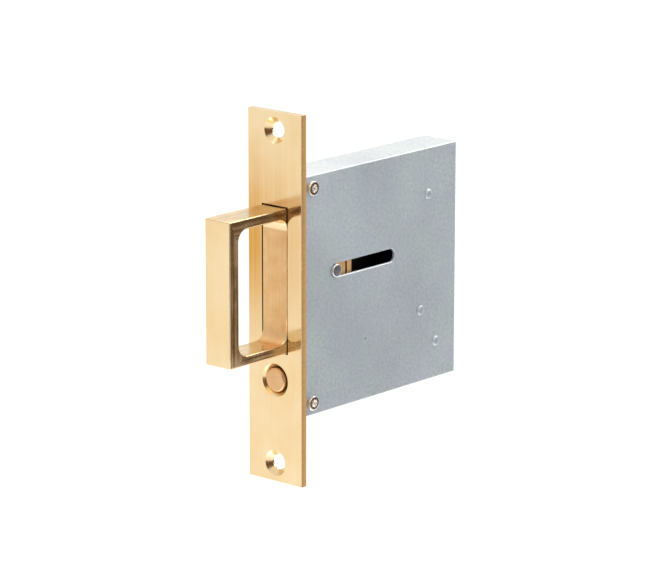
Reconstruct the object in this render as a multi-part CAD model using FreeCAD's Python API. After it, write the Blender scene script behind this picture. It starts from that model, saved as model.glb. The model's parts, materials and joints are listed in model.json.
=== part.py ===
import FreeCAD, Part
import math
import os

from FreeCAD import Vector

# Pocket door pull: a sprung brass pull that slides out of the edge of a sliding door.
# Millimetres. X is the door's thickness, +Y runs into the door, +Z is up.
# The origin is the centre of the faceplate's back face, midway between its two screw holes.

# Pull, shown extended; its projection is also its stroke, so it goes home flush
pull_width = 11.8
pull_height = 53.4
pull_centre_z = 7.2
pull_projection = 30.2
pull_front_bar = 4.3
pull_arm = 3.35
pull_edge_chamfer = 0.3
window_corner_radius = 4.4
window_edge_chamfer = 0.7
tail_length = 32.7
tail_groove_inset = 3.2
tail_groove_width = 0.9
tail_groove_depth = 0.9
tongue_length = 2.2
tongue_height = 6.0

# Faceplate
faceplate_height = 136.5
faceplate_width = 25.4
faceplate_thickness = 2.6
faceplate_edge_radius = 0.2
mount_hole_end_margin = 6.85
mount_hole_diameter = 5.8
countersink_diameter = 9.7
pull_slot_side_gap = 0.3
pull_slot_end_gap = 0.4

# Lugs on the back of the faceplate, tapped for the side and cover screws
lug_height = 6.9
lug_depth = 12.0
lug_screw_y = 8.7
lug_above_pull = 2.4
lug_below_button = 0.3

# Folded sheet case
sheet = 1.0
bend_radius = 0.6
inner_bend_radius = 0.2
case_rear_room = 7.85
cover_corner_radius = 1.0
front_butt_gap = 0.05
slot_edge_roll = 0.3
spot_mark_diameter = 1.0
spot_mark_depth = 0.25
spot_mark_along = 7.65
spot_mark_rise = 8.8

# Clearances
side_gap = 0.8
lug_gap = 0.25
press_gap = 0.02
pin_gap = 0.1
ride_gap = 0.3
slot_overrun = 0.3

# Cross pin
pin_diameter = 4.76
pin_inset = 11.0
pin_proud = 1.5
pin_chamfer = 0.35

# Screws
screw_diameter = 2.9
screw_length = 6.0
screw_hole_diameter = 3.4
screw_head_diameter = 5.6
screw_head_height = 1.4
screw_head_bevel = 0.6
recess_span = 3.1
recess_width = 0.8
recess_depth = 0.9

# Posts
post_diameter = 5.0
post_tenon_diameter = 4.0
post_tenon_proud = 0.7
post_stake_chamfer = 0.35
post_tap_depth = 7.0
post_flat_offset = 2.0

# Pull spring, its guide rod and washer
spring_axis_drop = 7.1
pull_spring_diameter = 8.0
pull_spring_wire = 0.9
pull_spring_turns = 10
pull_spring_home_length = 15.1
spring_pocket_depth = 10.0
spring_pocket_gap = 0.4
guide_rod_diameter = 4.0
guide_rod_gap = 0.3
guide_rod_engagement = 2.0
guide_barrel_diameter = 9.0
guide_collar_diameter = 6.0
guide_collar_length = 0.5
washer_diameter = 8.4
washer_thickness = 1.0
pivot_gap = 0.1

# Coils: straight runs in a turn and sides of the wire's section
coil_runs_per_turn = 12
wire_sides = 4

# Catch lever
catch_pivot_rise = 2.6
catch_thickness = 4.0
catch_eye_radius = 4.2
catch_eye_gap = 0.6
catch_nose_width = 2.5
catch_nose_bevel = 1.1
catch_nose_inset = 1.2
catch_nose_rise = 2.1
catch_arm_depth = 2.1
catch_arm_root_depth = 4.4
catch_arm_root_drop = 3.3
catch_leg_width = 3.8
catch_leg_below_rod = 2.5
catch_inner_radius = 2.0
catch_end_radius = 1.0
notch_end_gap = 0.4
notch_depth = 2.0
spacer_diameter = 7.6
spacer_gap = 0.15

# Catch spring
catch_spring_diameter = 5.0
catch_spring_wire = 0.6
catch_spring_turns = 4
catch_spring_length = 5.05
catch_spigot_diameter = 3.0
catch_spigot_length = 1.5

# Release button, rod and guides
button_diameter = 9.3
button_proud = 0.2
button_chamfer = 0.6
button_gap = 0.3
button_hole_chamfer = 1.2
button_below_pull = 10.8
button_flange_lip = 0.75
button_flange_start = 0.6
button_flange_thickness = 1.2
button_boss_diameter = 5.4
button_boss_length = 4.2
rod_diameter = 3.0
rod_socket_depth = 4.5
rod_tip_chamfer = 0.4
rod_gap = 0.1
button_spring_diameter = 7.4
button_spring_wire = 0.7
button_spring_turns = 7
guide_sheet = 1.0
guide_foot_length = 12.0
guide_foot_top = 10.0
guide_below_rod = 4.5
guide_above_rod = 3.0
guide_nose_gap = 0.5
rear_guide_setback = 12.5

# Places that follow from the sizes above
stroke = pull_projection
plate_front_y = -faceplate_thickness
pull_front_y = plate_front_y - pull_projection
pull_top_z = pull_centre_z + pull_height / 2
pull_bottom_z = pull_centre_z - pull_height / 2
tail_end_y = tail_length
tongue_end_y = tail_end_y + tongue_length
pin_y = tail_end_y - pin_inset
pin_z = pull_centre_z

button_z = pull_bottom_z - button_below_pull
button_hole_diameter = button_diameter + 2 * button_gap
button_flange_diameter = button_hole_diameter + 2 * button_flange_lip
button_flange_end_y = button_flange_start + button_flange_thickness

lug_top_z = pull_top_z + lug_above_pull + lug_height / 2
lug_bottom_z = button_z - button_flange_diameter / 2 - lug_below_button - lug_height / 2
case_top_z = lug_top_z + lug_height / 2 + lug_gap + sheet
case_bottom_z = lug_bottom_z - lug_height / 2 - lug_gap - sheet
case_inner_x = pull_width / 2 + side_gap
case_outer_x = case_inner_x + sheet
mount_hole_z = faceplate_height / 2 - mount_hole_end_margin

spring_z = pull_top_z - spring_axis_drop
spring_seat_y = tail_end_y - spring_pocket_depth
washer_front_y = spring_seat_y + stroke + pull_spring_home_length
collar_front_y = washer_front_y + washer_thickness
spring_post_y = collar_front_y + guide_collar_length + guide_barrel_diameter / 2
guide_rod_tip_y = tail_end_y - guide_rod_engagement

catch_y = tongue_end_y + stroke + catch_eye_gap + catch_eye_radius
catch_z = pull_bottom_z + catch_pivot_rise
nose_rear_y = tongue_end_y - catch_nose_inset
nose_front_y = nose_rear_y - catch_nose_width
nose_top_z = pull_bottom_z - ride_gap
catch_leg_front_y = catch_y - catch_leg_width / 2
catch_leg_rear_y = catch_y + catch_leg_width / 2
stop_post_y = catch_leg_rear_y + catch_spring_length + post_flat_offset
stop_post_z = button_z
case_rear_y = stop_post_y + post_diameter / 2 + case_rear_room + sheet

rod_tip_y = catch_leg_front_y - ride_gap
rod_socket_y = button_flange_end_y + button_boss_length - rod_socket_depth
front_guide_y = nose_front_y - guide_nose_gap - guide_sheet
rear_guide_y = catch_y - rear_guide_setback

posts = {
    "spring_post": (spring_post_y, spring_z),
    "catch_post": (catch_y, catch_z),
    "stop_post": (stop_post_y, stop_post_z),
}
lug_screws = [(lug_screw_y, lug_top_z), (lug_screw_y, lug_bottom_z)]
spot_marks = [(front_guide_y + guide_sheet + spot_mark_along, button_z + spot_mark_rise)]


def box(x0, x1, y0, y1, z0, z1):
    return Part.makeBox(x1 - x0, y1 - y0, z1 - z0, Vector(x0, y0, z0))


def round_x(diameter, x0, x1, y, z):
    return Part.makeCylinder(diameter / 2, x1 - x0, Vector(x0, y, z), Vector(1, 0, 0))


def round_y(diameter, y0, y1, z):
    return Part.makeCylinder(diameter / 2, y1 - y0, Vector(0, y0, z), Vector(0, 1, 0))


def cone_y(diameter0, diameter1, y0, y1, z):
    return Part.makeCone(diameter0 / 2, diameter1 / 2, y1 - y0, Vector(0, y0, z), Vector(0, 1, 0))


def plate_x(outline, thickness):
    corners = [Vector(-thickness / 2, y, z) for y, z in outline]
    face = Part.Face(Part.makePolygon(corners + corners[:1]))
    return face.extrude(Vector(thickness, 0, 0))


def turned_y(profile, z):
    # a profile of radius and Y, turned round the line through z
    corners = [Vector(radius, y, z) for radius, y in profile]
    face = Part.Face(Part.makePolygon(corners + corners[:1]))
    return face.revolve(Vector(0, 0, z), Vector(0, 1, 0), 360)


def edges_where(shape, test):
    return [e for e in shape.Edges if test(e)]


def along_x(edge):
    return edge.BoundBox.YLength < 1e-6 and edge.BoundBox.ZLength < 1e-6


def in_plane(low, high, value):
    return abs(low - value) < 1e-6 and abs(high - value) < 1e-6


def x_corner(shape, y, z):
    return edges_where(
        shape,
        lambda e: along_x(e) and math.hypot(e.BoundBox.YMin - y, e.BoundBox.ZMin - z) < 1e-4,
    )


def coil_spring(y0, y1, z, diameter, wire, turns):
    # round wire with few sides, carried along a helix of short straight runs that meet in mitres
    radius = (diameter - wire) / 2
    rise = y1 - y0 - wire
    runs = coil_runs_per_turn * turns
    angles = [2 * math.pi * run / coil_runs_per_turn for run in range(runs + 1)]
    path = [
        Vector(radius * math.cos(a), y0 + wire / 2 + rise * run / runs, z + radius * math.sin(a))
        for run, a in enumerate(angles)
    ]
    heading = (path[1] - path[0]).normalize()
    across = heading.cross(Vector(0, 1, 0)).normalize()
    upward = across.cross(heading)
    ring = []
    for side in range(wire_sides):
        a = 2 * math.pi * (side + 0.5) / wire_sides
        ring.append(path[0] + (across * math.cos(a) + upward * math.sin(a)) * (wire / 2))
    sweep = Part.BRepOffsetAPI.MakePipeShell(Part.makePolygon(path))
    sweep.setTransitionMode(1)
    sweep.add(Part.makePolygon(ring + ring[:1]))
    sweep.build()
    sweep.makeSolid()
    return sweep.shape()


def faceplate():
    half_width = faceplate_width / 2
    half_height = faceplate_height / 2
    plate = box(-half_width, half_width, plate_front_y, 0, -half_height, half_height)
    rim = edges_where(plate, lambda e: in_plane(e.BoundBox.YMin, e.BoundBox.YMax, plate_front_y))
    plate = plate.makeFillet(faceplate_edge_radius, rim)
    for z in (lug_top_z, lug_bottom_z):
        lug = box(-pull_width / 2, pull_width / 2, 0, lug_depth, z - lug_height / 2, z + lug_height / 2)
        plate = plate.fuse(lug)
    plate = plate.removeSplitter()
    cuts = []
    for z in (mount_hole_z, -mount_hole_z):
        sink = (countersink_diameter - mount_hole_diameter) / 2
        cuts.append(round_y(mount_hole_diameter, plate_front_y, 0, z))
        cuts.append(cone_y(countersink_diameter, mount_hole_diameter, plate_front_y, plate_front_y + sink, z))
    slot_x = pull_width / 2 + pull_slot_side_gap
    cuts.append(
        box(
            -slot_x,
            slot_x,
            plate_front_y,
            0,
            pull_bottom_z - pull_slot_end_gap,
            pull_top_z + pull_slot_end_gap,
        )
    )
    cuts.append(round_y(button_hole_diameter, plate_front_y, 0, button_z))
    chamfer_end_y = plate_front_y + button_hole_chamfer
    chamfer_diameter = button_hole_diameter + 2 * button_hole_chamfer
    cuts.append(cone_y(chamfer_diameter, button_hole_diameter, plate_front_y, chamfer_end_y, button_z))
    for y, z in lug_screws:
        cuts.append(round_x(screw_diameter + 2 * press_gap, -pull_width / 2, pull_width / 2, y, z))
    return plate.cut(cuts)


def pull_handle():
    half = pull_width / 2
    body = box(-half, half, pull_front_y, tail_end_y, pull_bottom_z, pull_top_z)
    body = body.makeChamfer(pull_edge_chamfer, body.Edges)
    window = box(
        -half,
        half,
        pull_front_y + pull_front_bar,
        plate_front_y,
        pull_bottom_z + pull_arm,
        pull_top_z - pull_arm,
    )
    window = window.makeFillet(window_corner_radius, edges_where(window, along_x))
    body = body.cut(window)
    rim = edges_where(body, lambda e: window_rim(e, half))
    body = body.makeChamfer(window_edge_chamfer, rim)
    tongue = box(
        -half + pull_edge_chamfer,
        half - pull_edge_chamfer,
        tail_end_y - pull_edge_chamfer,
        tongue_end_y,
        pull_bottom_z,
        pull_bottom_z + tongue_height,
    )
    body = body.fuse(tongue)
    rod_bore = guide_rod_diameter + 2 * guide_rod_gap
    pocket = pull_spring_diameter + 2 * spring_pocket_gap
    groove_y = tail_end_y - tail_groove_inset
    notch_rear_y = nose_rear_y - stroke + notch_end_gap
    notch_front_y = nose_front_y - stroke - notch_end_gap
    notch_top_z = pull_bottom_z + notch_depth
    cuts = [
        round_x(pin_diameter + 2 * press_gap, -half, half, pin_y, pin_z),
        round_y(pocket, spring_seat_y, tail_end_y, spring_z),
        round_y(rod_bore, guide_rod_tip_y - stroke - ride_gap, spring_seat_y, spring_z),
        box(-half, half, notch_front_y, notch_rear_y, pull_bottom_z, notch_top_z),
    ]
    for outer, inner in ((half, half - tail_groove_depth), (-half, -half + tail_groove_depth)):
        cuts.append(
            box(
                min(outer, inner),
                max(outer, inner),
                groove_y - tail_groove_width / 2,
                groove_y + tail_groove_width / 2,
                pull_bottom_z,
                pull_top_z,
            )
        )
    return body.cut(cuts)


def window_rim(edge, half):
    room = edge.BoundBox
    on_side = in_plane(room.XMin, room.XMax, half) or in_plane(room.XMin, room.XMax, -half)
    along = room.YMin > pull_front_y + pull_front_bar / 2 and room.YMax < plate_front_y + pull_front_bar / 2
    upright = room.ZMin > pull_bottom_z + pull_arm / 2 and room.ZMax < pull_top_z - pull_arm / 2
    return on_side and along and upright


def cross_pin():
    reach = case_outer_x + pin_proud
    pin = round_x(pin_diameter, -reach, reach, pin_y, pin_z)
    return pin.makeChamfer(pin_chamfer, edges_where(pin, lambda e: e.BoundBox.XLength < 1e-6))


def pin_slot(x0, x1):
    width = pin_diameter + 2 * pin_gap
    end_y = pin_y + stroke + slot_overrun
    ends = [round_x(width, x0, x1, y, pin_z) for y in (pin_y, end_y)]
    return ends[0].fuse([ends[1], box(x0, x1, pin_y, end_y, pin_z - width / 2, pin_z + width / 2)])


def roll_slot_rim(wall, face_x):
    # the punch leaves the slot's outer rim rolled over
    reach = pin_diameter / 2 + 2 * pin_gap
    rim = edges_where(wall, lambda e: slot_edge(e, face_x, reach))
    return wall.makeChamfer(slot_edge_roll, rim)


def slot_edge(edge, face_x, reach):
    room = edge.BoundBox
    near_z = room.ZMin > pin_z - reach and room.ZMax < pin_z + reach
    near_y = room.YMin > pin_y - reach and room.YMax < pin_y + stroke + slot_overrun + reach
    return in_plane(room.XMin, room.XMax, face_x) and near_z and near_y


def case_tray():
    shell = box(-case_inner_x, case_outer_x, front_butt_gap, case_rear_y, case_bottom_z, case_top_z)
    folds = edges_where(shell, lambda e: folded_edge(e, case_outer_x))
    shell = shell.makeFillet(bend_radius, folds)
    hollow = box(
        -case_outer_x,
        case_inner_x,
        front_butt_gap - sheet,
        case_rear_y - sheet,
        case_bottom_z + sheet,
        case_top_z - sheet,
    )
    inner_folds = edges_where(hollow, lambda e: folded_edge(e, case_inner_x))
    hollow = hollow.makeFillet(inner_bend_radius, inner_folds)
    tray = shell.cut(hollow)
    cuts = [pin_slot(case_inner_x, case_outer_x)]
    for y, z in lug_screws:
        cuts.append(round_x(screw_hole_diameter, case_inner_x, case_outer_x, y, z))
    for y, z in posts.values():
        cuts.append(round_x(post_tenon_diameter + 2 * press_gap, case_inner_x, case_outer_x, y, z))
    for y, z in spot_marks:
        cuts.append(round_x(spot_mark_diameter, case_outer_x - spot_mark_depth, case_outer_x, y, z))
    return roll_slot_rim(tray.cut(cuts), case_outer_x)


def folded_edge(edge, floor_x):
    room = edge.BoundBox
    return in_plane(room.XMin, room.XMax, floor_x) and room.YMax > lug_depth


def case_cover():
    cover = box(-case_outer_x, -case_inner_x, front_butt_gap, case_rear_y, case_bottom_z, case_top_z)
    rear = edges_where(cover, lambda e: along_x(e) and e.BoundBox.YMin > lug_depth)
    cover = cover.makeFillet(cover_corner_radius, rear)
    cuts = [pin_slot(-case_outer_x, -case_inner_x)]
    for y, z in lug_screws + list(posts.values()):
        cuts.append(round_x(screw_hole_diameter, -case_outer_x, -case_inner_x, y, z))
    return roll_slot_rim(cover.cut(cuts), -case_outer_x)


def pan_screw(y, z, side):
    # a pan screw whose head seats on the case's outer face on the +X or -X side
    head = round_x(screw_head_diameter, case_outer_x, case_outer_x + screw_head_height, y, z)
    crown_x = case_outer_x + screw_head_height
    crown = edges_where(head, lambda e: in_plane(e.BoundBox.XMin, e.BoundBox.XMax, crown_x))
    head = head.makeChamfer(screw_head_bevel, crown)
    shank = round_x(screw_diameter, case_outer_x - screw_length, case_outer_x, y, z)
    floor_x = crown_x - recess_depth
    long, short = recess_span / 2, recess_width / 2
    screw = head.fuse(shank).cut(
        [
            box(floor_x, crown_x, y - long, y + long, z - short, z + short),
            box(floor_x, crown_x, y - short, y + short, z - long, z + long),
        ]
    )
    if side < 0:
        screw = screw.rotate(Vector(0, y, z), Vector(0, 0, 1), 180)
    return screw


def side_screws():
    return Part.makeCompound([pan_screw(y, z, 1) for y, z in lug_screws])


def cover_screws():
    return Part.makeCompound([pan_screw(y, z, -1) for y, z in lug_screws + list(posts.values())])


def post(name):
    y, z = posts[name]
    body = round_x(post_diameter, -case_inner_x, case_inner_x, y, z)
    end_x = case_outer_x + post_tenon_proud
    tenon = round_x(post_tenon_diameter, case_inner_x, end_x, y, z)
    staked = edges_where(tenon, lambda e: in_plane(e.BoundBox.XMin, e.BoundBox.XMax, end_x))
    body = body.fuse(tenon.makeChamfer(post_stake_chamfer, staked))
    cuts = [round_x(screw_diameter + 2 * press_gap, -case_inner_x, post_tap_depth - case_inner_x, y, z)]
    if name == "stop_post":
        reach = post_diameter
        cuts.append(
            box(
                -catch_spring_diameter / 2,
                catch_spring_diameter / 2,
                y - reach,
                y - post_flat_offset,
                z - reach,
                z + reach,
            )
        )
    return body.cut(cuts)


def spring_guide_rod():
    reach = pull_width / 2
    barrel = round_x(guide_barrel_diameter, -reach, reach, spring_post_y, spring_z)
    rod = round_y(guide_rod_diameter, guide_rod_tip_y, spring_post_y, spring_z)
    collar = round_y(guide_collar_diameter, collar_front_y, spring_post_y, spring_z)
    eye = round_x(post_diameter + 2 * pivot_gap, -reach, reach, spring_post_y, spring_z)
    return barrel.fuse([rod, collar]).cut(eye)


def spring_washer():
    disc = round_y(washer_diameter, washer_front_y, collar_front_y, spring_z)
    return disc.cut(round_y(guide_rod_diameter + 2 * pivot_gap, washer_front_y, collar_front_y, spring_z))


def pull_spring():
    return coil_spring(
        spring_seat_y, washer_front_y, spring_z, pull_spring_diameter, pull_spring_wire, pull_spring_turns
    )


def catch_lever():
    bottom_z = nose_top_z - catch_nose_rise - catch_arm_depth
    root_top_z = catch_z - catch_arm_root_drop
    root_bottom_z = root_top_z - catch_arm_root_depth
    end_z = button_z - catch_leg_below_rod
    arm = plate_x(
        [
            (nose_front_y, bottom_z),
            (nose_front_y, nose_top_z - catch_nose_bevel),
            (nose_front_y + catch_nose_bevel, nose_top_z),
            (nose_rear_y, nose_top_z),
            (nose_rear_y, nose_top_z - catch_nose_rise),
            (catch_y - catch_leg_width, root_top_z),
            (catch_y, root_top_z),
            (catch_y, root_bottom_z),
            (catch_leg_front_y, root_bottom_z),
        ],
        catch_thickness,
    )
    leg = plate_x(
        [
            (catch_leg_front_y, catch_z),
            (catch_leg_front_y, end_z),
            (catch_leg_rear_y, end_z),
            (catch_leg_rear_y, catch_z),
        ],
        catch_thickness,
    )
    half = catch_thickness / 2
    eye = round_x(2 * catch_eye_radius, -half, half, catch_y, catch_z)
    spigot = round_y(
        catch_spigot_diameter, catch_leg_rear_y, catch_leg_rear_y + catch_spigot_length, button_z
    )
    lever = arm.fuse([leg, eye]).removeSplitter()
    lever = lever.makeFillet(catch_inner_radius, x_corner(lever, catch_leg_front_y, root_bottom_z))
    ends = x_corner(lever, catch_leg_front_y, end_z) + x_corner(lever, catch_leg_rear_y, end_z)
    lever = lever.makeFillet(catch_end_radius, ends)
    pivot = round_x(post_diameter + 2 * pivot_gap, -half, half, catch_y, catch_z)
    return lever.fuse(spigot).cut(pivot)


def catch_spacers():
    tubes = []
    for side in (-1, 1):
        ends = sorted((side * (catch_thickness / 2 + spacer_gap), side * (case_inner_x - spacer_gap)))
        tube = round_x(spacer_diameter, *ends, catch_y, catch_z)
        tubes.append(tube.cut(round_x(post_diameter + 2 * pivot_gap, *ends, catch_y, catch_z)))
    return Part.makeCompound(tubes)


def catch_spring():
    return coil_spring(
        catch_leg_rear_y,
        catch_leg_rear_y + catch_spring_length,
        button_z,
        catch_spring_diameter,
        catch_spring_wire,
        catch_spring_turns,
    )


def release_button():
    front_y = plate_front_y - button_proud
    boss_end_y = button_flange_end_y + button_boss_length
    radius = button_diameter / 2
    profile = [
        (0, front_y),
        (radius - button_chamfer, front_y),
        (radius, front_y + button_chamfer),
        (radius, button_flange_start),
        (button_flange_diameter / 2, button_flange_start),
        (button_flange_diameter / 2, button_flange_end_y),
        (button_boss_diameter / 2, button_flange_end_y),
        (button_boss_diameter / 2, boss_end_y),
        (0, boss_end_y),
    ]
    socket = round_y(rod_diameter + 2 * press_gap, rod_socket_y, boss_end_y, button_z)
    return turned_y(profile, button_z).cut(socket)


def button_rod():
    rod = round_y(rod_diameter, rod_socket_y, rod_tip_y, button_z)
    tip = edges_where(rod, lambda e: in_plane(e.BoundBox.YMin, e.BoundBox.YMax, rod_tip_y))
    return rod.makeChamfer(rod_tip_chamfer, tip)


def button_spring():
    return coil_spring(
        button_flange_end_y,
        front_guide_y,
        button_z,
        button_spring_diameter,
        button_spring_wire,
        button_spring_turns,
    )


def rod_guide(y, foot_y):
    # a folded bracket: its foot lies on the tray's floor and its upright carries the rod
    low_z = button_z - guide_below_rod
    upright = box(-pull_width / 2, case_inner_x, y, y + guide_sheet, low_z, button_z + guide_above_rod)
    upright = upright.cut(round_y(rod_diameter + 2 * rod_gap, y, y + guide_sheet, button_z))
    foot_x = case_inner_x - guide_sheet
    foot = box(foot_x, case_inner_x, foot_y, foot_y + guide_foot_length, low_z, button_z + guide_foot_top)
    return upright.fuse(foot).removeSplitter()


def front_rod_guide():
    return rod_guide(front_guide_y, front_guide_y)


def rear_rod_guide():
    return rod_guide(rear_guide_y, rear_guide_y + guide_sheet - guide_foot_length)


pieces = {
    "faceplate": faceplate(),
    "pull_handle": pull_handle(),
    "cross_pin": cross_pin(),
    "case_tray": case_tray(),
    "case_cover": case_cover(),
    "side_screws": side_screws(),
    "cover_screws": cover_screws(),
    "spring_post": post("spring_post"),
    "catch_post": post("catch_post"),
    "stop_post": post("stop_post"),
    "pull_spring": pull_spring(),
    "spring_guide_rod": spring_guide_rod(),
    "spring_washer": spring_washer(),
    "catch_lever": catch_lever(),
    "catch_spacers": catch_spacers(),
    "catch_spring": catch_spring(),
    "release_button": release_button(),
    "button_rod": button_rod(),
    "button_spring": button_spring(),
    "front_rod_guide": front_rod_guide(),
    "rear_rod_guide": rear_rod_guide(),
}

os.makedirs("parts", exist_ok=True)
for name, shape in pieces.items():
    shape.exportStep(f"parts/{name}.step")
    print(f"{name}: {len(shape.Solids)} solids, {shape.Volume:.1f} mm3, valid {shape.isValid()}")
print(f"case {case_outer_x * 2:.2f} x {case_rear_y:.2f} x {case_top_z - case_bottom_z:.2f}")
print(f"case z {case_bottom_z:.2f} to {case_top_z:.2f}, stroke {stroke:.2f}")
for name, (y, z) in posts.items():
    print(f"{name} at y {y:.2f}, z {z:.2f}")
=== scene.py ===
import json
import math

import bmesh
import bpy
import numpy as np
from mathutils import Matrix, Vector


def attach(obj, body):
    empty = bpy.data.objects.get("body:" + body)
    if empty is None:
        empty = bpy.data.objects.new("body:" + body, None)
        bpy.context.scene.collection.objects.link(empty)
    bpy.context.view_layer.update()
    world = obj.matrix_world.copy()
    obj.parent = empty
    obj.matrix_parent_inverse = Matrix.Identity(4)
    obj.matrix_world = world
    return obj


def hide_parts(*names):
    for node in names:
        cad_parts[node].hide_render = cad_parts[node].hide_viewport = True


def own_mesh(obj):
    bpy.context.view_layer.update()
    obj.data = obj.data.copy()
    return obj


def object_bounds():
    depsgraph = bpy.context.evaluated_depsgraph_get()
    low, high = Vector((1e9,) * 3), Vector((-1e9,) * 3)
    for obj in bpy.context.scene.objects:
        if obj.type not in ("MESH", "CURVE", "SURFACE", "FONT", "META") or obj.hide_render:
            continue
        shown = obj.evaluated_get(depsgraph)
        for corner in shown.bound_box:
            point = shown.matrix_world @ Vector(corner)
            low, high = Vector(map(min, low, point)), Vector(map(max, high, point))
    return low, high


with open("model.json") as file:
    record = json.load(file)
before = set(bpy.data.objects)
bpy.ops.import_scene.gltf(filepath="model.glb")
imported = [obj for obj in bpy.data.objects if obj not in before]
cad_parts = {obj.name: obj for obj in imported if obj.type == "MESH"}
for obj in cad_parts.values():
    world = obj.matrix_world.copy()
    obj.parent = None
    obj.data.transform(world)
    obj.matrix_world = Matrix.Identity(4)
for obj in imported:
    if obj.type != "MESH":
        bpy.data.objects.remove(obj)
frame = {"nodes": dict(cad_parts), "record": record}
nodes = frame["nodes"]
cadLow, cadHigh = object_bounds()
print("frame loaded:", len(nodes), "nodes")


# colours and nodes

def hexLinear(code):
    # sRGB hex to linear: low values divide by 12.92, the rest follow the 2.4 power
    srgb = np.array([int(code[i:i + 2], 16) for i in (1, 3, 5)]) / 255
    linear = np.where(srgb <= 0.04045, srgb / 12.92, ((srgb + 0.055) / 1.055) ** 2.4)
    return (*linear.tolist(), 1.0)


def addNode(tree, kind, settings=None, inputs=None):
    # one node with its own settings; an input takes a value, or a socket of another node to link
    made = tree.nodes.new(kind)
    for key, value in (settings or {}).items():
        setattr(made, key, value)
    for key, value in (inputs or {}).items():
        if isinstance(value, bpy.types.NodeSocket):
            tree.links.new(value, made.inputs[key])
        else:
            made.inputs[key].default_value = value
    return made


def perMetre(sizeMm):
    # pattern scale for a feature of this size, as Object coordinates are metres
    return 1000 / sizeMm


def metres(sizesMm):
    return [size / 1000 for size in sizesMm]


def startMaterial(name):
    made = bpy.data.materials.new(name)
    made.use_nodes = True
    tree = made.node_tree
    tree.nodes.clear()
    place = addNode(tree, "ShaderNodeTexCoord").outputs["Object"]
    return made, tree, place


def closeMaterial(tree, shader):
    addNode(tree, "ShaderNodeOutputMaterial", inputs={"Surface": shader.outputs[0]})


# most values of a noise pattern lie between these two
noiseLow, noiseHigh = 0.3, 0.7
bumpStrength = 0.5

# polished brass: buffed, then satined one way and lacquered, so it mirrors softly with faint streaks along the stroke
polishedLook = {"light": "#F8E0B6", "deep": "#F3D5A2", "cloudMm": 14,
                "streakMm": 0.7, "streakLongMm": 30, "streakTone": 0.03, "streakFrom": (0.35, 0.6),
                "hazeMm": 6, "haze": 0.07, "hazeFrom": (0.45, 0.75),
                "roughLow": 0.09, "roughHigh": 0.15, "grainHeight": 0.000004}
# the pull's arms: the same polish with longer and deeper strokes, so what they mirror breaks up into lines
armLook = {**polishedLook, "streakLongMm": 40, "streakTone": 0.16, "haze": 0.10,
           "roughLow": 0.11, "roughHigh": 0.30, "grainHeight": 0.000008}
# the plate's countersinks: cut and then buffed a little, so their highlights are broad
countersunkLook = {**polishedLook, "roughLow": 0.19, "roughHigh": 0.24}
# the pull's sides: handled brass, polish worn in patches and streaks, so the dark reflection in it is mottled
sideLook = {**polishedLook, "deep": "#EFCC96", "cloudMm": 9,
            "streakMm": 0.9, "streakLongMm": 26, "streakTone": 0.22,
            "hazeMm": 13, "haze": 0.13, "roughHigh": 0.28}
# milled brass: cutter marks left as they are, so it glows dull and coppery beside the polished faces
milledLook = {**polishedLook, "light": "#F5CF9B", "deep": "#E9BC83", "cloudMm": 5,
              "streakMm": 0.4, "streakLongMm": 12, "streakTone": 0.10, "hazeMm": 4, "haze": 0.06,
              "roughLow": 0.44, "roughHigh": 0.54, "grainHeight": 0.000006}
# the button: faced on a lathe, a shade browner and a little smoother than milled brass
buttonLook = {**milledLook, "light": "#EAC08D", "deep": "#E0B480", "roughLow": 0.38, "roughHigh": 0.46}
# the tail's groove: milled brass darkened as painted shade, so it shows as a dark line
grooveShadeLook = {**milledLook, "light": "#A87A48", "deep": "#8A6034"}

# the faceplate's sheared edges beyond x and a back beyond y, in mm, scratched across and darker in front;
# its face has painted shade: a deeper gold toward a soft ball by its left edge beside the pull, in upright bands
plateCut = {"x": 12.55, "y": -0.2, "tone": "#E8BC80", "front": -2.6, "edgeTone": (0.78, 1.08),
            "scratchMm": 0.35, "scratchLongMm": 5, "scratchTone": (0.86, 1.04),
            "paintedShade": "#DCA455", "paintedShadeAt": (-14, -2.6, 20), "paintedShadeReach": (38, 40, 42),
            "bandMm": 2.0, "bandLongMm": 160, "bandFrom": (0.35, 0.65), "bandTone": (0.75, 1.25)}


def paintShadeOnPlate(tree, place, colour, cut):
    # painted shade: the colour deepened toward the middle of a soft ball and broken into bands
    ball = addNode(tree, "ShaderNodeMapping", {"vector_type": "TEXTURE"},
                   {"Vector": place, "Location": metres(cut["paintedShadeAt"]), "Scale": metres(cut["paintedShadeReach"])})
    paintedShade = addNode(tree, "ShaderNodeTexGradient", {"gradient_type": "SPHERICAL"}, {"Vector": ball.outputs[0]})
    ruled = addNode(tree, "ShaderNodeMapping",
                    inputs={"Vector": place, "Scale": (1, 1, cut["bandMm"] / cut["bandLongMm"])})
    band = addNode(tree, "ShaderNodeTexNoise",
                   inputs={"Vector": ruled.outputs[0], "Scale": perMetre(cut["bandMm"])})
    banded = addNode(tree, "ShaderNodeMapRange",
                     inputs={"Value": band.outputs["Fac"],
                             "From Min": cut["bandFrom"][0], "From Max": cut["bandFrom"][1],
                             "To Min": cut["bandTone"][0], "To Max": cut["bandTone"][1]})
    deepened = addNode(tree, "ShaderNodeMath", {"operation": "MULTIPLY", "use_clamp": True},
                       {0: paintedShade.outputs["Fac"], 1: banded.outputs["Result"]})
    shadedTone = addNode(tree, "ShaderNodeMix", {"data_type": "RGBA"},
                   {"Factor": deepened.outputs[0], 6: colour, 7: hexLinear(cut["paintedShade"])})
    return shadedTone.outputs[2]


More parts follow.
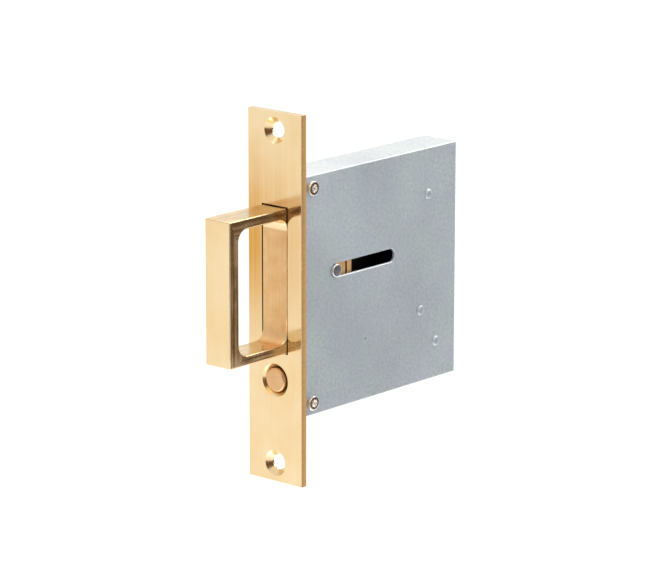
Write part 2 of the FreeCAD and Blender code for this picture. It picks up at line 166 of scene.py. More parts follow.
def shearPlate(tree, place, streak, colour, roughness, cut):
    # colour and roughness, replaced on the sheared edges and the back by a scratched tone and a milled dullness
    axes = addNode(tree, "ShaderNodeSeparateXYZ", inputs={0: place})
    aside = addNode(tree, "ShaderNodeMath", {"operation": "ABSOLUTE"}, {0: axes.outputs["X"]})
    beside = addNode(tree, "ShaderNodeMath", {"operation": "GREATER_THAN"},
                     {0: aside.outputs[0], 1: cut["x"] / 1000})
    behind = addNode(tree, "ShaderNodeMath", {"operation": "GREATER_THAN"},
                     {0: axes.outputs["Y"], 1: cut["y"] / 1000})
    mask = addNode(tree, "ShaderNodeMath", {"operation": "MAXIMUM"}, {0: beside.outputs[0], 1: behind.outputs[0]})
    across = addNode(tree, "ShaderNodeMapping",
                     inputs={"Vector": place, "Scale": (1, cut["scratchMm"] / cut["scratchLongMm"], 1)})
    scratch = addNode(tree, "ShaderNodeTexNoise",
                      inputs={"Vector": across.outputs[0], "Scale": perMetre(cut["scratchMm"]), "Detail": 4.0})
    scored = addNode(tree, "ShaderNodeMapRange",
                     inputs={"Value": scratch.outputs["Fac"], "From Min": noiseLow, "From Max": noiseHigh,
                             "To Min": cut["scratchTone"][0], "To Max": cut["scratchTone"][1]})
    sheared = addNode(tree, "ShaderNodeMapRange",
                      inputs={"Value": axes.outputs["Y"], "From Min": cut["front"] / 1000, "From Max": 0,
                              "To Min": cut["edgeTone"][0], "To Max": cut["edgeTone"][1]})
    marked = addNode(tree, "ShaderNodeMath", {"operation": "MULTIPLY"},
                     {0: scored.outputs["Result"], 1: sheared.outputs["Result"]})
    edge = addNode(tree, "ShaderNodeVectorMath", {"operation": "SCALE"},
                   {0: hexLinear(cut["tone"])[:3], "Scale": marked.outputs[0]})
    shorn = addNode(tree, "ShaderNodeMix", {"data_type": "RGBA"},
                    {"Factor": mask.outputs[0], 6: colour, 7: edge.outputs["Vector"]})
    dull = addNode(tree, "ShaderNodeMapRange",
                   inputs={"Value": streak, "From Min": noiseLow, "From Max": noiseHigh,
                           "To Min": milledLook["roughLow"], "To Max": milledLook["roughHigh"]})
    rougher = addNode(tree, "ShaderNodeMix", {"data_type": "FLOAT"},
                      {"Factor": mask.outputs[0], 2: roughness, 3: dull.outputs["Result"]})
    return shorn.outputs[2], rougher.outputs[0]


def makeBrass(name, look, stroke, cut=None):
    # stroke is the axis that the streaks run along; cut is the wear of a plate
    made, tree, place = startMaterial(name)
    cloud = addNode(tree, "ShaderNodeTexNoise",
                    inputs={"Vector": place, "Scale": perMetre(look["cloudMm"]), "Detail": 3.0})
    stretch = [look["streakMm"] / look["streakLongMm"] if axis == stroke else 1.0 for axis in "xyz"]
    drawn = addNode(tree, "ShaderNodeMapping", inputs={"Vector": place, "Scale": stretch})
    streak = addNode(tree, "ShaderNodeTexNoise",
                     inputs={"Vector": drawn.outputs[0], "Scale": perMetre(look["streakMm"]), "Detail": 4.0})
    tone = addNode(tree, "ShaderNodeValToRGB", inputs={"Fac": cloud.outputs["Fac"]})
    tone.color_ramp.elements[0].position, tone.color_ramp.elements[1].position = noiseLow, noiseHigh
    tone.color_ramp.elements[0].color = hexLinear(look["deep"])
    tone.color_ramp.elements[1].color = hexLinear(look["light"])
    drag = addNode(tree, "ShaderNodeMapRange",
                   inputs={"Value": streak.outputs["Fac"], "From Min": noiseLow, "From Max": noiseHigh,
                           "To Min": look["roughLow"], "To Max": look["roughHigh"]})
    haze = addNode(tree, "ShaderNodeTexNoise",
                   inputs={"Vector": place, "Scale": perMetre(look["hazeMm"]), "Detail": 2.0})
    buffed = addNode(tree, "ShaderNodeMapRange",
                     inputs={"Value": haze.outputs["Fac"], "From Min": look["hazeFrom"][0],
                             "From Max": look["hazeFrom"][1], "To Max": look["haze"]})
    rough = addNode(tree, "ShaderNodeMath", {"operation": "ADD"},
                    {0: drag.outputs["Result"], 1: buffed.outputs["Result"]})
    dim = addNode(tree, "ShaderNodeMapRange",
                  inputs={"Value": streak.outputs["Fac"], "From Min": look["streakFrom"][0],
                          "From Max": look["streakFrom"][1], "To Min": 1 - look["streakTone"], "To Max": 1.0})
    lined = addNode(tree, "ShaderNodeVectorMath", {"operation": "SCALE"},
                    {0: tone.outputs["Color"], "Scale": dim.outputs["Result"]})
    colour, roughness = lined.outputs["Vector"], rough.outputs[0]
    if cut:
        # painted shade on the plate's face, then the scratched tone of its edges
        colour = paintShadeOnPlate(tree, place, colour, cut)
        colour, roughness = shearPlate(tree, place, streak.outputs["Fac"], colour, roughness, cut)
    grain = addNode(tree, "ShaderNodeBump",
                    inputs={"Height": streak.outputs["Fac"], "Strength": bumpStrength,
                            "Distance": look["grainHeight"]})
    shader = addNode(tree, "ShaderNodeBsdfPrincipled",
                     inputs={"Base Color": colour, "Metallic": 1.0,
                             "Roughness": roughness, "Normal": grain.outputs["Normal"]})
    closeMaterial(tree, shader)
    return made


# zinc plate on rolled sheet: a flat blue grey with soft greener clouds, broad stains and a faint rolling grain
zincLook = {"blue": "#C7D0D9", "green": "#CAD5D8", "cloudMm": 14, "cloudFrom": (0.42, 0.62),
            "stainMm": 42, "stainShift": (0, 45, -30), "stainFrom": (0.35, 0.65), "stainTone": (0.94, 1.07),
            "mottleMm": 1.1, "speckle": 0.18, "rollMm": 0.6, "rollLongMm": 9,
            "roughLow": 0.54, "roughHigh": 0.66, "grainHeight": 0.000006}
# the posts' staked ends: the same plate over hammered steel, so they shine a little more than the sheet
stakedLook = {**zincLook, "roughLow": 0.46, "roughHigh": 0.52}
# the cover's inner face: painted shade, a dark tone, so the slots look into the dark
insideShadeLook = {**zincLook, "blue": "#5A4A4A", "green": "#4E4040"}


def makeZinc(name, look):
    made, tree, place = startMaterial(name)
    cloud = addNode(tree, "ShaderNodeTexNoise",
                    inputs={"Vector": place, "Scale": perMetre(look["cloudMm"]), "Detail": 4.0, "Roughness": 0.6})
    mottle = addNode(tree, "ShaderNodeTexNoise",
                     inputs={"Vector": place, "Scale": perMetre(look["mottleMm"]), "Detail": 3.0})
    drawn = addNode(tree, "ShaderNodeMapping",
                    inputs={"Vector": place, "Scale": (1, 1, look["rollMm"] / look["rollLongMm"])})
    roll = addNode(tree, "ShaderNodeTexNoise",
                   inputs={"Vector": drawn.outputs[0], "Scale": perMetre(look["rollMm"]), "Detail": 3.0})
    tone = addNode(tree, "ShaderNodeValToRGB", inputs={"Fac": cloud.outputs["Fac"]})
    tone.color_ramp.elements[0].position, tone.color_ramp.elements[1].position = look["cloudFrom"]
    tone.color_ramp.elements[0].color = hexLinear(look["blue"])
    tone.color_ramp.elements[1].color = hexLinear(look["green"])
    dim = addNode(tree, "ShaderNodeMapRange",
                  inputs={"Value": mottle.outputs["Fac"], "From Min": noiseLow, "From Max": noiseHigh,
                          "To Min": 1 - look["speckle"], "To Max": 1.0})
    moved = addNode(tree, "ShaderNodeMapping", inputs={"Vector": place, "Location": metres(look["stainShift"])})
    stain = addNode(tree, "ShaderNodeTexNoise",
                    inputs={"Vector": moved.outputs[0], "Scale": perMetre(look["stainMm"]), "Detail": 2.0})
    shade = addNode(tree, "ShaderNodeMapRange",
                    inputs={"Value": stain.outputs["Fac"],
                            "From Min": look["stainFrom"][0], "From Max": look["stainFrom"][1],
                            "To Min": look["stainTone"][0], "To Max": look["stainTone"][1]})
    dimmed = addNode(tree, "ShaderNodeMath", {"operation": "MULTIPLY"},
                     {0: dim.outputs["Result"], 1: shade.outputs["Result"]})
    speckled = addNode(tree, "ShaderNodeVectorMath", {"operation": "SCALE"},
                       {0: tone.outputs["Color"], "Scale": dimmed.outputs[0]})
    rough = addNode(tree, "ShaderNodeMapRange",
                    inputs={"Value": mottle.outputs["Fac"], "From Min": noiseLow, "From Max": noiseHigh,
                            "To Min": look["roughLow"], "To Max": look["roughHigh"]})
    grain = addNode(tree, "ShaderNodeBump",
                    inputs={"Height": roll.outputs["Fac"], "Strength": bumpStrength,
                            "Distance": look["grainHeight"]})
    shader = addNode(tree, "ShaderNodeBsdfPrincipled",
                     inputs={"Base Color": speckled.outputs["Vector"], "Metallic": 1.0,
                             "Roughness": rough.outputs["Result"], "Normal": grain.outputs["Normal"]})
    closeMaterial(tree, shader)
    return made


# steel: turned, ground, sawn or drawn, bright, with fine marks that scatter its gloss
nickelLook = {"light": "#DCD8D2", "deep": "#CFC9C1", "markMm": 0.8, "roughLow": 0.10, "roughHigh": 0.18}
pinLook = {"light": "#EDEEF0", "deep": "#E6E8EC", "markMm": 0.3, "roughLow": 0.16, "roughHigh": 0.22}
sawnLook = {"light": "#BCC6D6", "deep": "#AEB8C8", "markMm": 0.3, "roughLow": 0.24, "roughHigh": 0.28}
steelLook = {"light": "#C4C7CA", "deep": "#AEB2B6", "markMm": 0.6, "roughLow": 0.25, "roughHigh": 0.40}
wireLook = {"light": "#A5A7A9", "deep": "#85888B", "markMm": 0.5, "roughLow": 0.28, "roughHigh": 0.42}


def makeSteel(name, look):
    made, tree, place = startMaterial(name)
    mark = addNode(tree, "ShaderNodeTexNoise",
                   inputs={"Vector": place, "Scale": perMetre(look["markMm"]), "Detail": 3.0})
    tone = addNode(tree, "ShaderNodeValToRGB", inputs={"Fac": mark.outputs["Fac"]})
    tone.color_ramp.elements[0].position, tone.color_ramp.elements[1].position = noiseLow, noiseHigh
    tone.color_ramp.elements[0].color = hexLinear(look["deep"])
    tone.color_ramp.elements[1].color = hexLinear(look["light"])
    rough = addNode(tree, "ShaderNodeMapRange",
                    inputs={"Value": mark.outputs["Fac"], "From Min": noiseLow, "From Max": noiseHigh,
                            "To Min": look["roughLow"], "To Max": look["roughHigh"]})
    shader = addNode(tree, "ShaderNodeBsdfPrincipled",
                     inputs={"Base Color": tone.outputs["Color"], "Metallic": 1.0,
                             "Roughness": rough.outputs["Result"]})
    closeMaterial(tree, shader)
    return made


plateBrass = makeBrass("polishedBrassPlate", polishedLook, "z", plateCut)
uprightBrass = makeBrass("polishedBrassUpright", polishedLook, "z")
lengthwiseBrass = makeBrass("polishedBrassLengthwise", armLook, "y")
milledBrass = makeBrass("milledBrass", milledLook, "z")
facedBrass = makeBrass("facedBrass", buttonLook, "x")
grooveShadeBrass = makeBrass("paintedShadeGrooveBrass", grooveShadeLook, "z")
handledBrass = makeBrass("handledBrassSide", sideLook, "z")
handledArmBrass = makeBrass("handledBrassArm", sideLook, "y")
countersunkBrass = makeBrass("countersunkBrass", countersunkLook, "x")
nickel = makeSteel("nickelPlatedSteel", nickelLook)
turnedSteel = makeSteel("turnedSteel", steelLook)
groundSteel = makeSteel("groundBrightSteel", pinLook)
sawnSteel = makeSteel("sawnSteelEnd", sawnLook)
zincSheet = makeZinc("zincPlatedSheet", zincLook)
stakedZinc = makeZinc("zincPlatedStakedEnd", stakedLook)
paintedShadeSheet = makeZinc("paintedShadeSheet", insideShadeLook)
springWire = makeSteel("drawnSpringWire", wireLook)
finishes = {"polished_brass": plateBrass, "zinc_plated_steel": zincSheet,
            "nickel_plated_steel": nickel, "bright_steel": turnedSteel, "spring_steel": springWire}
for part in frame["record"]["subparts"]:
    mesh = nodes[part["node"]].data
    mesh.materials.clear()
    mesh.materials.append(finishes[part["material_slot"]])
print("finishes on", len(nodes), "nodes")


# surfaces: worked out as whole arrays in millimetres and put into meshes in metres

# distances in metres at which points of a solid's copy and of a surface are one, and below which a face is a sliver
mergeSolid, mergeSurface, sliver = 1e-6, 2e-7, 1e-7


def gridFaces(rows, cols, wrapRows=False):
    # every cell of a grid of points as a quad; columns close on themselves, and rows too when wrapped
    i, j = np.meshgrid(np.arange(rows if wrapRows else rows - 1), np.arange(cols), indexing="ij")
    iNext, jNext = (i + 1) % rows, (j + 1) % cols
    corners = [i * cols + j, iNext * cols + j, iNext * cols + jNext, i * cols + jNext]
    return np.stack(corners, -1).reshape(-1, 4)


def roundCorners(corners, radii, steps=6):
    # a broken line whose corners become arcs: each arc touches both runs, and its points turn evenly about its
    # centre; a corner that hardly bends stays a point
    corners = np.array(corners, float)
    nearlyStraight = math.pi - 0.01
    runs = [corners[:1]]
    for before, at, after, radius in zip(corners[:-2], corners[1:-1], corners[2:], radii):
        back, on = before - at, after - at
        back, on = back / np.linalg.norm(back), on / np.linalg.norm(on)
        angle = math.acos(float(np.clip(back @ on, -1, 1)))
        if radius == 0 or angle > nearlyStraight:
            runs.append(at[None])
            continue
        centre = at + (back + on) / np.linalg.norm(back + on) * radius / math.sin(angle / 2)
        touch = radius / math.tan(angle / 2)
        first, last, sweep = at + back * touch - centre, at + on * touch - centre, math.pi - angle
        share = np.linspace(0, 1, steps + 1)[:, None]
        arc = np.sin((1 - share) * sweep) * first + np.sin(share * sweep) * last
        runs.append(centre + arc / math.sin(sweep))
    runs.append(corners[-1:])
    return np.concatenate(runs)


def turnedShell(profile, axis, centre, steps=96):
    # a surface of revolution: each (radius, along) of the profile goes round the axis through centre
    turn = np.linspace(0, 2 * np.pi, steps, endpoint=False)
    radius, along = profile[:, :1], profile[:, 1:]
    across, up = radius * np.cos(turn), radius * np.sin(turn)
    along = np.broadcast_to(along, across.shape)
    columns = {"x": (along, across, up), "y": (across, along, up)}[axis]
    points = np.stack(columns, -1) + np.array(centre, float)
    return points.reshape(-1, 3), gridFaces(len(profile), steps), 0


def finishPiece(name, mesh, body, materials, replaced, sharp):
    # smooth shading that breaks at edges sharper than an angle, then the piece's finish and body, with the nodes it
    # replaces hidden; normals stored with a solid don't fit its merged copy, so they go
    stored = mesh.attributes.get("custom_normal")
    if stored:
        mesh.attributes.remove(stored)
    mesh.polygons.foreach_set("use_smooth", np.ones(len(mesh.polygons), bool))
    mesh.set_sharp_from_angle(angle=math.radians(sharp))
    for material in materials:
        mesh.materials.append(material)
    made = bpy.data.objects.new(name, mesh)
    bpy.context.scene.collection.objects.link(made)
    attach(made, body)
    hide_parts(*replaced)
    return made


def addPiece(name, shells, body, materials, replaced, sharp=35, joined=None):
    # shells are points, quads and material numbers; poles and seams are merged, every face is turned outward,
    # and a mesh that is joined goes in as it is
    starts = np.cumsum([0] + [len(points) for points, quads, paint in shells])
    mesh = bpy.data.meshes.new(name)
    mesh.from_pydata((np.concatenate([s[0] for s in shells]) / 1000).tolist(), [],
                     np.concatenate([s[1] + start for s, start in zip(shells, starts)]).tolist())
    paint = np.concatenate([np.broadcast_to(s[2], len(s[1])) for s in shells])
    mesh.polygons.foreach_set("material_index", paint.astype(np.int32))
    work = bmesh.new()
    work.from_mesh(mesh)
    bmesh.ops.remove_doubles(work, verts=work.verts, dist=mergeSurface)
    bmesh.ops.dissolve_degenerate(work, edges=work.edges, dist=sliver)
    bmesh.ops.recalc_face_normals(work, faces=work.faces)
    if joined:
        work.from_mesh(joined)
    work.to_mesh(mesh)
    work.free()
    return finishPiece(name, mesh, body, materials, replaced, sharp)


def mergedCopy(node):
    # the node's loose triangles joined at their shared corners
    work = bmesh.new()
    work.from_mesh(nodes[node].data)
    bmesh.ops.remove_doubles(work, verts=work.verts, dist=mergeSolid)
    return work


def facesOf(mesh):
    # the normal and the middle of every face, as rows
    normals, middles = np.zeros((2, len(mesh.polygons) * 3))
    mesh.polygons.foreach_get("normal", normals)
    mesh.polygons.foreach_get("center", middles)
    return normals.reshape(-1, 3), middles.reshape(-1, 3)


def flatFaces(mesh):
    # true for each face that looks straight along an axis
    alongAxis = 0.99999
    return np.abs(facesOf(mesh)[0]).max(1) > alongAxis


def keepFlats(mesh, flat):
    # an edge between a flat and a rounding stays sharp, so that the flat mirrors as a flat
    edgeOf = np.zeros(len(mesh.loops), np.int32)
    mesh.loops.foreach_get("edge_index", edgeOf)
    sides = np.zeros(len(mesh.polygons), np.int32)
    mesh.polygons.foreach_get("loop_total", sides)
    flats = np.bincount(edgeOf, np.repeat(flat, sides), len(mesh.edges))
    sharp = np.zeros(len(mesh.edges), bool)
    mesh.edges.foreach_get("use_edge_sharp", sharp)
    mesh.edges.foreach_set("use_edge_sharp", sharp | (flats == 1))


# faceplate and folded case: merged copies of the solids, shaded smooth round their bores and countersinks
dressed = {"dressedFaceplate": ("faceplate", [plateBrass, countersunkBrass], "polished_brass"),
           "foldedTray": ("case_tray", [zincSheet], "zinc_plated_steel"),
           "foldedCover": ("case_cover", [zincSheet, paintedShadeSheet], "zinc_plated_steel")}
# the cover's faces that look inward, beyond this x in metres, get the painted shade
coverInside = {"beyondX": -0.006, "facing": 0.9}


def dressCopy(name, node, materials):
    # the second finish goes on the plate's countersinks and bores, and on the cover's inner face as painted shade
    work = mergedCopy(node)
    bmesh.ops.recalc_face_normals(work, faces=work.faces)
    mesh = bpy.data.meshes.new(name)
    work.to_mesh(mesh)
    work.free()
    normals, middles = facesOf(mesh)
    flat = flatFaces(mesh)
    inside = (normals[:, 0] > coverInside["facing"]) & (middles[:, 0] < coverInside["beyondX"])
    second = {"faceplate": ~flat, "case_cover": inside}.get(node, np.zeros_like(flat))
    mesh.polygons.foreach_set("material_index", second.astype(np.int32))
    finishPiece(name, mesh, "case", materials, [node], sharp=22)
    keepFlats(mesh, flat)


for name, (node, materials, slotName) in dressed.items():
    dressCopy(name, node, materials)
print("faceplate and case dressed")


# springs: wound from round wire, with an end turn laid close at each end
springs = {
    "pullSpringCoil": {"node": "pull_spring", "z": 26.8, "ends": (22.7, 68.0), "outer": 8.0, "wire": 0.9,
                       "turns": 10, "joint": "pull_slide", "anchorY": 68.0, "keep": 0.3333},
    "buttonSpringCoil": {"node": "button_spring", "z": -30.3, "ends": (1.8, 29.7), "outer": 7.4, "wire": 0.7,
                         "turns": 7, "joint": "button_press", "anchorY": 29.7, "keep": 0.944},
    "catchSpringCoil": {"node": "catch_spring", "z": -30.3, "ends": (71.8, 76.85), "outer": 5.3, "wire": 0.6,
                        "turns": 4, "joint": "catch_pivot", "anchorY": 76.85, "keep": 0.62},
}
winding = {"perTurn": 36, "perRing": 14, "closePitch": 1.03, "closedTurns": 0.5, "easedTurns": 0.6}


def windSpring(name, s, w):
    # helix: the wire's centre goes round at one radius, advancing about one wire per turn at the ends and evenly
    # between, with a smooth step from one to the other; its section is a circle on the radius and the binormal,
    # shrunk to a point at both ends to close the wire
    turn = np.linspace(0, s["turns"], s["turns"] * w["perTurn"] + 1)
    free = np.clip((np.minimum(turn, s["turns"] - turn) - w["closedTurns"]) / w["easedTurns"], 0, 1)
    free = free * free * (3 - 2 * free)
    step = turn[1]
    length = s["ends"][1] - s["ends"][0] - s["wire"]
    close = w["closePitch"] * s["wire"]
    pitch = (length - close * np.sum(1 - free[1:]) * step) / (np.sum(free[1:]) * step)
    rise = np.concatenate([[0], np.cumsum(close * (1 - free[1:]) + pitch * free[1:]) * step])
    radius, angle = (s["outer"] - s["wire"]) / 2, 2 * np.pi * turn
    out = np.stack([np.cos(angle), np.zeros_like(angle), np.sin(angle)], -1)
    centre = radius * out + np.stack([0 * turn, s["ends"][0] + s["wire"] / 2 + rise, s["z"] + 0 * turn], -1)
    tangent = np.gradient(centre, axis=0)
    tangent /= np.linalg.norm(tangent, axis=1, keepdims=True)
    side = np.cross(tangent, out)
    around = np.linspace(0, 2 * np.pi, w["perRing"], endpoint=False)[:, None]
    circle = np.cos(around)[None] * out[:, None] + np.sin(around)[None] * side[:, None]
    thick = np.full(len(turn) + 2, s["wire"] / 2)
    thick[[0, -1]] = 0
    rows = np.concatenate([[0], np.arange(len(turn)), [len(turn) - 1]])
    points = centre[rows][:, None] + thick[:, None, None] * circle[rows]
    shell = (points.reshape(-1, 3), gridFaces(len(rows), w["perRing"]), 0)
    made = addPiece(name, [shell], "case", [springWire], [s["node"]], sharp=50)
    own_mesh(made)


for name, spring in springs.items():
    windSpring(name, spring, winding)
print("springs wound:", len(springs))


# screws: nickel plated pan heads with a cross recess, seated on the case
screwHead = {"radius": 2.8, "height": 1.4, "rim": 0.5, "crown": 16, "span": 2.7, "wing": 1.15, "depth": 1.0,
             "slope": 1.9, "soft": 0.25, "shank": 1.45, "length": 6.0, "tip": 0.5, "seat": 7.7,
             "rings": 44, "perRing": 96}
screwSets = {
    "sideScrewSet": {"node": "side_screws", "side": 1, "at": [(8.7, 39.75), (8.7, -39.75)], "turned": (20, 62)},
    "coverScrewSet": {"node": "cover_screws", "side": -1,
                      "at": [(8.7, 39.75), (8.7, -39.75), (74.0, 26.8), (69.9, -16.9), (78.85, -30.3)],
                      "turned": (35, 5, 50, 78, 15)},
}


def screwShell(h, side, y, z, turned):
    # head: height over a polar grid, a crown (1 - (r/R)^16)^0.5 above a low rim, less two crossed wings that slope
    # down to the middle; the rim, underside and shank follow as further rings of the same grid
    turn = np.linspace(0, 2 * np.pi, h["perRing"], endpoint=False)
    reach = h["radius"] * np.sin(np.linspace(0, np.pi / 2, h["rings"]))[:, None]
    crown = np.sqrt(np.clip(1 - (reach / h["radius"]) ** h["crown"], 0, 1))
    dome = h["rim"] + (h["height"] - h["rim"]) * crown
    a, b = reach * np.cos(turn + math.radians(turned)), reach * np.sin(turn + math.radians(turned))
    wings = []
    for along, across in ((a, b), (b, a)):
        inEnds = np.clip((h["span"] / 2 - np.abs(along)) / h["soft"] + 0.5, 0, 1)
        inSides = np.clip((h["wing"] / 2 - np.abs(across)) / h["soft"] + 0.5, 0, 1)
        wings.append(inEnds * inSides * (1 - h["slope"] * np.abs(along) / h["span"]))
    top = dome - h["depth"] * np.maximum(*wings)
    rest = np.array([(h["radius"], 0), (h["shank"], 0), (h["shank"], h["tip"] - h["length"]),
                     (h["shank"] - h["tip"], -h["length"]), (0, -h["length"])], float)
    restShape = (len(rest), len(turn))
    radius = np.concatenate([np.broadcast_to(reach, top.shape), np.broadcast_to(rest[:, :1], restShape)])
    along = np.concatenate([top, np.broadcast_to(rest[:, 1:], restShape)])
    points = np.stack([side * (h["seat"] + along), y + radius * np.cos(turn), z + radius * np.sin(turn)], -1)
    return points.reshape(-1, 3), gridFaces(len(radius), len(turn)), 0


for name, s in screwSets.items():
    shells = [screwShell(screwHead, s["side"], y, z, turned) for (y, z), turned in zip(s["at"], s["turned"])]
    addPiece(name, shells, "case", [nickel], [s["node"]], sharp=40)
print("screws set:", sum(len(s["at"]) for s in screwSets.values()))


# release button: turned in one piece with its flange and boss, bored behind for its rod
button = {"z": -30.3,
          "corners": [(0, -2.8), (3.95, -2.8), (4.45, -2.3), (4.45, -0.4), (4.65, -0.2), (4.65, 0.6), (5.7, 0.6),
                      (5.7, 1.8), (2.7, 1.8), (2.7, 6.0), (1.52, 6.0), (1.52, 1.5), (0, 1.5)],
          "radii": [0.2, 0.25, 0.05, 0.05, 0.05, 0.15, 0.15, 0.1, 0.2, 0.05, 0.05]}
buttonShell = turnedShell(roundCorners(button["corners"], button["radii"]), "y", (0, 0, button["z"]))
addPiece("turnedButton", [buttonShell], "button", [facedBrass], ["release_button"])

# cross pin: ground rod with rounded ends, through the case from side to side; its flat ends are sawn
crossPin = {"y": 21.7, "z": 7.2, "corners": [(0, -8.6), (2.38, -8.6), (2.38, 8.6), (0, 8.6)], "radii": [0.3, 0.3],
            "sawnBeyond": 8.59}
points, quads, paint = turnedShell(roundCorners(crossPin["corners"], crossPin["radii"]), "x",
                                   (0, crossPin["y"], crossPin["z"]))
paint = np.where(np.abs(points[quads, 0]).min(1) > crossPin["sawnBeyond"], 1, 0)
addPiece("groundCrossPin", [(points, quads, paint)], "pull", [groundSteel, sawnSteel],
         ["cross_pin"])

# posts: turned, bored for the cover's screws on the left and staked into the tray on the right, where their ends
# are plated over with it; one has a flat for its spring
posts = {"at": {"spring_post": (74.0, 26.8), "catch_post": (69.9, -16.9), "stop_post": (78.85, -30.3)},
         "corners": [(0, 0.3), (1.47, 0.3), (1.47, -6.7), (2.5, -6.7), (2.5, 6.7), (2.0, 6.7), (2.0, 7.85),
                     (1.35, 8.25), (0, 8.4)],
         "radii": [0.1, 0.1, 0.2, 0.1, 0.05, 0.3, 1.2], "radius": 2.5, "slack": 0.01, "stakedBeyond": 7.6,
         "flatNode": "stop_post", "flatAhead": 2.0, "flatHalf": 2.5, "flatStep": 0.02}


def postProfile(p):
    # the rounded outline, with two points close together at each end of the flat
    profile = roundCorners(p["corners"], p["radii"])
    steps = np.array([(p["radius"], side * p["flatHalf"] + gap)
                      for side in (-1, 1) for gap in (-p["flatStep"], p["flatStep"])])
    cutAt = int(np.argmax((profile[:, 0] > p["radius"] - p["slack"]) & (profile[:, 1] > 0)))
    return np.concatenate([profile[:cutAt], steps, profile[cutAt:]])


def flattenPost(points, y, p):
    # the flat: between two lines across the post, nothing stands further forward than a plane
    within = np.abs(points[:, 0]) < p["flatHalf"]
    points[:, 1] = np.where(within, np.maximum(points[:, 1], y - p["flatAhead"]), points[:, 1])


for node, (y, z) in posts["at"].items():
    points, quads, paint = turnedShell(postProfile(posts), "x", (0, y, z))
    if node == posts["flatNode"]:
        flattenPost(points, y, posts)
    paint = np.where(points[quads, 0].min(1) > posts["stakedBeyond"], 1, 0)
    addPiece(node.split("_")[0] + "PostTurned", [(points, quads, paint)], "case",
             [groundSteel, stakedZinc], [node])
print("turned pieces done")


# pull: a polished frame round the finger window, in one piece with the milled tail behind it
pull = {"halfWidth": 5.9, "outerY": (-32.8, 0.3), "outerZ": (-19.5, 33.9), "outerCorner": 0.5, "outerRound": 0.48,
        "windowY": (-28.0, -2.6), "windowZ": (-15.9, 30.05), "windowCorner": 4.4, "windowRound": 0.45,
        "grooveY": (29.0, 30.0), "grooveSkin": 0.02, "perSide": 14, "perCorner": 10, "arcSteps": 6}
pullFinishes = {"upright": uprightBrass, "lengthwise": lengthwiseBrass, "milled": milledBrass,
                "grooveShade": grooveShadeBrass, "sideUpright": handledBrass, "sideLengthwise": handledArmBrass}
paintOf = {finish: number for number, finish in enumerate(pullFinishes)}


def roundedFrame(yEnds, zEnds, corner, perSide, perCorner):
    # a rectangle with quarter-circle corners, from the front side down, back, up and forward; with its outward
    # normals
    (y0, y1), (z0, z1) = yEnds, zEnds
    share = np.linspace(0, 1, perSide, endpoint=False)[:, None]
    centres = np.array([(y0 + corner, z0 + corner), (y1 - corner, z0 + corner),
                        (y1 - corner, z1 - corner), (y0 + corner, z1 - corner)])
    outward = np.array([(-1.0, 0), (0, -1), (1, 0), (0, 1)])
    quarter = np.linspace(0, np.pi / 2, perCorner, endpoint=False)[:, None]
    places, normals = [], []
    for k in range(4):
        begin, stop = centres[k - 1] + corner * outward[k], centres[k] + corner * outward[k]
        bend = np.cos(quarter) * outward[k] + np.sin(quarter) * outward[(k + 1) % 4]
        places += [begin + share * (stop - begin), centres[k] + corner * bend]
        normals += [np.broadcast_to(outward[k], (perSide, 2)), bend]
    return np.concatenate(places), np.concatenate(normals)


def pullFrame(p):
    # a closed section carried round two matched outlines: outer wall, rounding, flat side, rounding and window wall,
    # then the same on the other side; the arms are streaked along their length and the front bar along its own,
    # and the window's rear wall is left milled, with its lower corner
    outer = roundedFrame(p["outerY"], p["outerZ"], p["outerCorner"], p["perSide"], p["perCorner"])
    inner = roundedFrame(p["windowY"], p["windowZ"], p["windowCorner"], p["perSide"], p["perCorner"])
    bend = np.linspace(0, np.pi / 2, p["arcSteps"] + 1)
    ring = []
    for side in (1, -1):
        for (place, normal), radius, into in ((outer, p["outerRound"], -1), (inner, p["windowRound"], 1)):
            x = p["halfWidth"] - radius * (1 - np.sin(bend))
            inset = radius * (1 - np.cos(bend))
            arc = np.concatenate([np.broadcast_to(x[:, None, None], (len(x), len(place), 1)) * side,
                                  place[None] + into * inset[:, None, None] * normal[None]], 2)
            ring.append(arc if (into < 0) == (side > 0) else arc[::-1])
        if side < 0:
            ring[2], ring[3] = ring[3], ring[2]
    points = np.concatenate(ring)
    rows, cols = points.shape[:2]
    section, way = np.meshgrid(np.arange(rows), np.arange(cols), indexing="ij")
    arcRows = p["arcSteps"] + 1
    perRun = p["perSide"] + p["perCorner"]
    lowerCorner = perRun + p["perSide"]
    arms = (way // perRun) % 2 == 1
    rearWall = (section == 2 * arcRows - 1) & (way >= lowerCorner) & (way < lowerCorner + perRun)
    flatSide = (section == arcRows - 1) | (section == 3 * arcRows - 1)
    rim = np.where(arms, paintOf["lengthwise"], paintOf["upright"])
    side = np.where(arms, paintOf["sideLengthwise"], paintOf["sideUpright"])
    paint = np.where(rearWall, paintOf["milled"], np.where(flatSide, side, rim)).ravel()
    return points.reshape(-1, 3), gridFaces(rows, cols, wrapRows=True), paint


